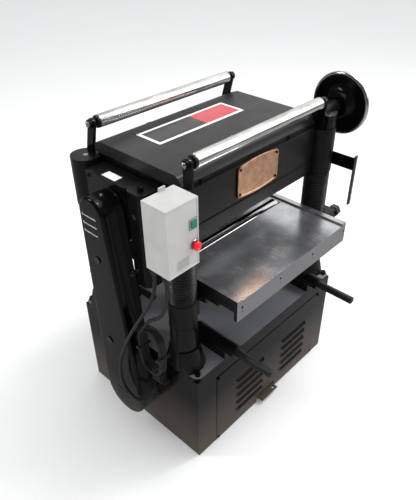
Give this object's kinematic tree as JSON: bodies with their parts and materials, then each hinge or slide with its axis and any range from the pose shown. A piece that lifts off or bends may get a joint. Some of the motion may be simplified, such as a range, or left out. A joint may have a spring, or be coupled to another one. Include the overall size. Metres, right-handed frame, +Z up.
{
  "type": "thickness planer",
  "caption": "Four-column woodworking thickness planer: fixed head over a lifting table on a closed cabinet, with a handwheel, return rollers, belt guard and switch box.",
  "frame": {"origin": "on the floor, at the centre of the four anchor holes in the cabinet's bottom flange", "axes": "+X across the table towards the handwheel, +Y along the feed towards the outfeed side, +Z up"},
  "size_m": [0.9916, 0.807, 1.106],
  "materials": {
    "gloss_black": "gloss",
    "casting_black": "gloss",
    "ground_iron": "ground",
    "bright_steel": "bright",
    "chrome": "polished",
    "black_rubber": "satin",
    "white_enamel": "gloss",
    "copper_badge": "satin",
    "printed_plate": "printed",
    "green_plastic": "gloss",
    "red_plastic": "gloss",
    "black_plastic": "satin",
    "bronze": "satin",
    "chain_steel": "oiled"
  },
  "bodies": {
    "frame": {"cabinet": "gloss_black", "front_panel": "gloss_black", "base_casting": "casting_black", "columns": "bright_steel", "chains": "chain_steel", "bellows": "black_rubber", "head_casting": "casting_black", "bearings": "bright_steel", "v_belts": "black_rubber", "bars_and_axles": "bright_steel", "top_cover": "gloss_black", "dust_hood": "gloss_black", "name_plate": "printed_plate", "badge": "copper_badge", "roller_brackets": "gloss_black", "side_cover": "gloss_black", "gearbox_housing": "casting_black", "belt_guard": "gloss_black", "motor": "casting_black", "switch_box": "white_enamel", "elevation_housing": "casting_black", "depth_scale": "gloss_black", "fasteners": "bright_steel", "cord_glands": "black_plastic", "motor_lead": "black_rubber", "supply_cord": "black_rubber", "supply_coil": "black_rubber", "supply_plug": "black_plastic"},
    "cutterhead_body": {"cutterhead": "bright_steel", "knives": "bright_steel", "cutterhead_pulley": "casting_black"},
    "motor_rotor_body": {"motor_rotor": "casting_black"},
    "infeed_body": {"infeed_roller": "bright_steel"},
    "outfeed_body": {"outfeed_roller": "bright_steel"},
    "gearbox_shaft": {"gearbox_gears": "bright_steel"},
    "handwheel_body": {"handwheel": "gloss_black"},
    "crank_body": {"crank_handle": "black_plastic"},
    "table_body": {"table": "ground_iron", "lift_nuts": "bronze"},
    "table_roller_front_body": {"table_roller_front": "bright_steel"},
    "table_roller_rear_body": {"table_roller_rear": "bright_steel"},
    "lock_front_body": {"lock_knob_front": "black_plastic"},
    "lock_rear_body": {"lock_knob_rear": "black_plastic"},
    "return_front_body": {"return_roller_front": "chrome"},
    "return_rear_body": {"return_roller_rear": "chrome"},
    "chip_breaker_body": {"chip_breaker": "casting_black"},
    "fingers_body": {"kickback_fingers": "casting_black"},
    "start_body": {"start_button": "green_plastic"},
    "stop_body": {"stop_button": "red_plastic"},
    "speed_knob_body": {"speed_knob": "bright_steel"},
    "pedal_body": {"foot_pedal": "gloss_black"},
    "caster_body": {"caster_wheel": "black_plastic"},
    "leadscrew_front_left_body": {"leadscrew_front_left": "bright_steel"},
    "lift_bar_front_left_body": {"lift_bar_front_left": "gloss_black"},
    "leadscrew_front_right_body": {"leadscrew_front_right": "bright_steel"},
    "lift_bar_front_right_body": {"lift_bar_front_right": "gloss_black"},
    "leadscrew_rear_left_body": {"leadscrew_rear_left": "bright_steel"},
    "lift_bar_rear_left_body": {"lift_bar_rear_left": "gloss_black"},
    "leadscrew_rear_right_body": {"leadscrew_rear_right": "bright_steel"},
    "lift_bar_rear_right_body": {"lift_bar_rear_right": "gloss_black"}
  },
  "joints": [
    {"name": "handwheel_turn", "type": "hinge", "parent": "frame", "child": "handwheel_body", "pos_m": [0.415, -0.191, 1.003], "axis": [1, 0, 0], "range_deg": [-18675, 25425]},
    {"name": "table_lift", "type": "slide", "parent": "frame", "child": "table_body", "axis": [0, 0, 1], "range_m": [-0.0831, 0.1131], "deforming": ["bellows"]},
    {"name": "leadscrew_front_left_turn", "type": "hinge", "parent": "frame", "child": "leadscrew_front_left_body", "pos_m": [-0.326, -0.191, 0.6], "axis": [0, 0, 1], "range_deg": [-7472, 10172]},
    {"name": "leadscrew_front_right_turn", "type": "hinge", "parent": "frame", "child": "leadscrew_front_right_body", "pos_m": [0.326, -0.191, 0.6], "axis": [0, 0, 1], "range_deg": [-7472, 10172]},
    {"name": "leadscrew_rear_left_turn", "type": "hinge", "parent": "frame", "child": "leadscrew_rear_left_body", "pos_m": [-0.326, 0.191, 0.6], "axis": [0, 0, 1], "range_deg": [-7472, 10172]},
    {"name": "leadscrew_rear_right_turn", "type": "hinge", "parent": "frame", "child": "leadscrew_rear_right_body", "pos_m": [0.326, 0.191, 0.6], "axis": [0, 0, 1], "range_deg": [-7472, 10172]},
    {"name": "crank_spin", "type": "hinge", "parent": "handwheel_body", "child": "crank_body", "pos_m": [0.47, -0.141, 0.953], "axis": [1, 0, 0], "continuous": true},
    {"name": "cutterhead_spin", "type": "hinge", "parent": "frame", "child": "cutterhead_body", "pos_m": [0, 0.025, 0.835], "axis": [1, 0, 0], "continuous": true},
    {"name": "motor_spin", "type": "hinge", "parent": "frame", "child": "motor_rotor_body", "pos_m": [-0.4, -0.018, 0.2], "axis": [1, 0, 0], "continuous": true},
    {"name": "infeed_spin", "type": "hinge", "parent": "frame", "child": "infeed_body", "pos_m": [0, -0.07, 0.8135], "axis": [1, 0, 0], "continuous": true},
    {"name": "outfeed_spin", "type": "hinge", "parent": "frame", "child": "outfeed_body", "pos_m": [0, 0.108, 0.8135], "axis": [1, 0, 0], "continuous": true},
    {"name": "gearbox_spin", "type": "hinge", "parent": "frame", "child": "gearbox_shaft", "pos_m": [-0.34, -0.07, 0.872], "axis": [1, 0, 0], "continuous": true},
    {"name": "table_roller_front_spin", "type": "hinge", "parent": "table_body", "child": "table_roller_front_body", "pos_m": [0, -0.09, 0.6533], "axis": [1, 0, 0], "continuous": true},
    {"name": "table_roller_rear_spin", "type": "hinge", "parent": "table_body", "child": "table_roller_rear_body", "pos_m": [0, 0.09, 0.6533], "axis": [1, 0, 0], "continuous": true},
    {"name": "lock_front_turn", "type": "hinge", "parent": "table_body", "child": "lock_front_body", "pos_m": [0.385, -0.245, 0.629], "axis": [1, 0, 0], "range_deg": [0, 270]},
    {"name": "lock_rear_turn", "type": "hinge", "parent": "table_body", "child": "lock_rear_body", "pos_m": [0.385, 0.245, 0.629], "axis": [1, 0, 0], "range_deg": [0, 270]},
    {"name": "return_front_spin", "type": "hinge", "parent": "frame", "child": "return_front_body", "pos_m": [0, -0.2, 1.042], "axis": [1, 0, 0], "continuous": true},
    {"name": "return_rear_spin", "type": "hinge", "parent": "frame", "child": "return_rear_body", "pos_m": [0, 0.182, 1.042], "axis": [1, 0, 0], "continuous": true},
    {"name": "chip_breaker_swing", "type": "hinge", "parent": "frame", "child": "chip_breaker_body", "pos_m": [0, -0.036, 0.905], "axis": [1, 0, 0], "range_deg": [0, 4]},
    {"name": "fingers_swing", "type": "hinge", "parent": "frame", "child": "fingers_body", "pos_m": [0, -0.152, 0.836], "axis": [1, 0, 0], "range_deg": [0, 60]},
    {"name": "start_press", "type": "slide", "parent": "frame", "child": "start_body", "axis": [0, 1, 0], "range_m": [0, 0.003], "stiffness_N_per_m": 900},
    {"name": "stop_press", "type": "slide", "parent": "frame", "child": "stop_body", "axis": [0, 1, 0], "range_m": [0, 0.003], "stiffness_N_per_m": 900},
    {"name": "speed_pull", "type": "slide", "parent": "frame", "child": "speed_knob_body", "axis": [-1, 0, 0], "range_m": [0, 0.012]},
    {"name": "lift_bar_front_left_slide", "type": "slide", "parent": "frame", "child": "lift_bar_front_left_body", "axis": [0, 1, 0], "range_m": [0, 0.14]},
    {"name": "lift_bar_front_right_slide", "type": "slide", "parent": "frame", "child": "lift_bar_front_right_body", "axis": [0, 1, 0], "range_m": [0, 0.14]},
    {"name": "lift_bar_rear_left_slide", "type": "slide", "parent": "frame", "child": "lift_bar_rear_left_body", "axis": [0, 1, 0], "range_m": [0, 0.14]},
    {"name": "lift_bar_rear_right_slide", "type": "slide", "parent": "frame", "child": "lift_bar_rear_right_body", "axis": [0, 1, 0], "range_m": [0, 0.14]},
    {"name": "pedal_press", "type": "hinge", "parent": "frame", "child": "pedal_body", "pos_m": [0, -0.17, 0.034], "axis": [1, 0, 0], "range_deg": [0, 6]},
    {"name": "caster_spin", "type": "hinge", "parent": "pedal_body", "child": "caster_body", "pos_m": [-0.005, -0.232, 0.027], "axis": [1, 0, 0], "continuous": true}
  ],
  "couplings": [
    {"joint": "table_lift", "follows": "handwheel_turn", "m_per_rad": 0.00025465},
    {"joint": "leadscrew_front_left_turn", "follows": "handwheel_turn", "ratio": 0.4},
    {"joint": "leadscrew_front_right_turn", "follows": "handwheel_turn", "ratio": 0.4},
    {"joint": "leadscrew_rear_left_turn", "follows": "handwheel_turn", "ratio": 0.4},
    {"joint": "leadscrew_rear_right_turn", "follows": "handwheel_turn", "ratio": 0.4},
    {"joint": "motor_spin", "follows": "cutterhead_spin", "ratio": 0.57576},
    {"joint": "infeed_spin", "follows": "cutterhead_spin", "ratio": -0.0064},
    {"joint": "outfeed_spin", "follows": "cutterhead_spin", "ratio": -0.0064},
    {"joint": "gearbox_spin", "follows": "cutterhead_spin", "ratio": -0.008533}
  ]
}
